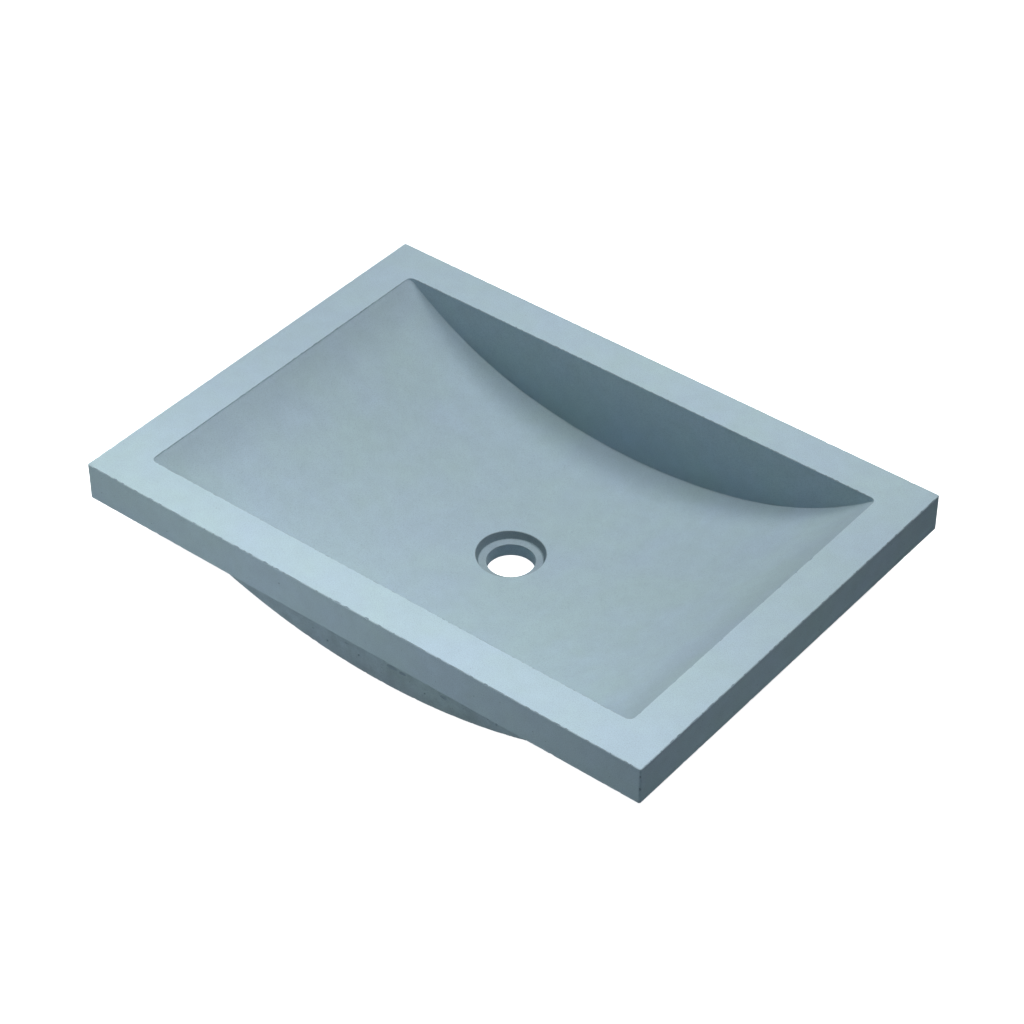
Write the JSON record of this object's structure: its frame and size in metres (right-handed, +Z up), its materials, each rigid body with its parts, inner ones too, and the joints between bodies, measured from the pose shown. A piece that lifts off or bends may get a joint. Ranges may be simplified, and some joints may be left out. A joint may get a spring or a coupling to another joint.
{
  "type": "undermount basin",
  "caption": "Rectangular cast concrete basin with a trough-shaped bowl, a stepped drain hole and swinging hanger straps under its rim.",
  "frame": {"origin": "middle of the flat underside of the drain boss, the lowest face of the basin", "axes": "+X along the basin to its right end, +Y to its back, +Z up out of the bowl"},
  "size_m": [0.61, 0.434, 0.107],
  "materials": {
    "concrete": "fine cast concrete, blue-grey, matte sealed",
    "reinforcing_steel": "plain drawn steel rod",
    "brass": "turned",
    "nylon": "moulded, natural white",
    "plated_steel": "bright zinc plated"
  },
  "bodies": {
    "basin": {"basin_casting": "concrete", "rim_reinforcing_ring": "reinforcing_steel", "trough_wire_mat": "reinforcing_steel", "insert_front_left": "brass", "bush_front_left": "nylon", "washer_front_left": "plated_steel", "bolt_front_left": "plated_steel", "insert_front_right": "brass", "bush_front_right": "nylon", "washer_front_right": "plated_steel", "bolt_front_right": "plated_steel", "insert_back_left": "brass", "bush_back_left": "nylon", "washer_back_left": "plated_steel", "bolt_back_left": "plated_steel", "insert_back_right": "brass", "bush_back_right": "nylon", "washer_back_right": "plated_steel", "bolt_back_right": "plated_steel", "insert_left_front": "brass", "bush_left_front": "nylon", "washer_left_front": "plated_steel", "bolt_left_front": "plated_steel", "insert_left_back": "brass", "bush_left_back": "nylon", "washer_left_back": "plated_steel", "bolt_left_back": "plated_steel", "insert_right_front": "brass", "bush_right_front": "nylon", "washer_right_front": "plated_steel", "bolt_right_front": "plated_steel", "insert_right_back": "brass", "bush_right_back": "nylon", "washer_right_back": "plated_steel", "bolt_right_back": "plated_steel"},
    "hanger_front_left": {"strap_front_left": "plated_steel"},
    "hanger_front_right": {"strap_front_right": "plated_steel"},
    "hanger_back_left": {"strap_back_left": "plated_steel"},
    "hanger_back_right": {"strap_back_right": "plated_steel"},
    "hanger_left_front": {"strap_left_front": "plated_steel"},
    "hanger_left_back": {"strap_left_back": "plated_steel"},
    "hanger_right_front": {"strap_right_front": "plated_steel"},
    "hanger_right_back": {"strap_right_back": "plated_steel"}
  },
  "joints": [
    {"name": "hanger_front_left_swing", "type": "hinge", "parent": "basin", "child": "hanger_front_left", "pos_m": [-0.1525, -0.2027, 0.06665], "axis": [0, 0, -1], "range_deg": [0, 180]},
    {"name": "hanger_front_right_swing", "type": "hinge", "parent": "basin", "child": "hanger_front_right", "pos_m": [0.1525, -0.2027, 0.06665], "axis": [0, 0, 1], "range_deg": [0, 180]},
    {"name": "hanger_back_left_swing", "type": "hinge", "parent": "basin", "child": "hanger_back_left", "pos_m": [-0.1525, 0.2027, 0.06665], "axis": [0, 0, 1], "range_deg": [0, 180]},
    {"name": "hanger_back_right_swing", "type": "hinge", "parent": "basin", "child": "hanger_back_right", "pos_m": [0.1525, 0.2027, 0.06665], "axis": [0, 0, -1], "range_deg": [0, 180]},
    {"name": "hanger_left_front_swing", "type": "hinge", "parent": "basin", "child": "hanger_left_front", "pos_m": [-0.2907, -0.1085, 0.06665], "axis": [0, 0, 1], "range_deg": [0, 180]},
    {"name": "hanger_left_back_swing", "type": "hinge", "parent": "basin", "child": "hanger_left_back", "pos_m": [-0.2907, 0.1085, 0.06665], "axis": [0, 0, -1], "range_deg": [0, 180]},
    {"name": "hanger_right_front_swing", "type": "hinge", "parent": "basin", "child": "hanger_right_front", "pos_m": [0.2907, -0.1085, 0.06665], "axis": [0, 0, -1], "range_deg": [0, 180]},
    {"name": "hanger_right_back_swing", "type": "hinge", "parent": "basin", "child": "hanger_right_back", "pos_m": [0.2907, 0.1085, 0.06665], "axis": [0, 0, 1], "range_deg": [0, 180]}
  ]
}
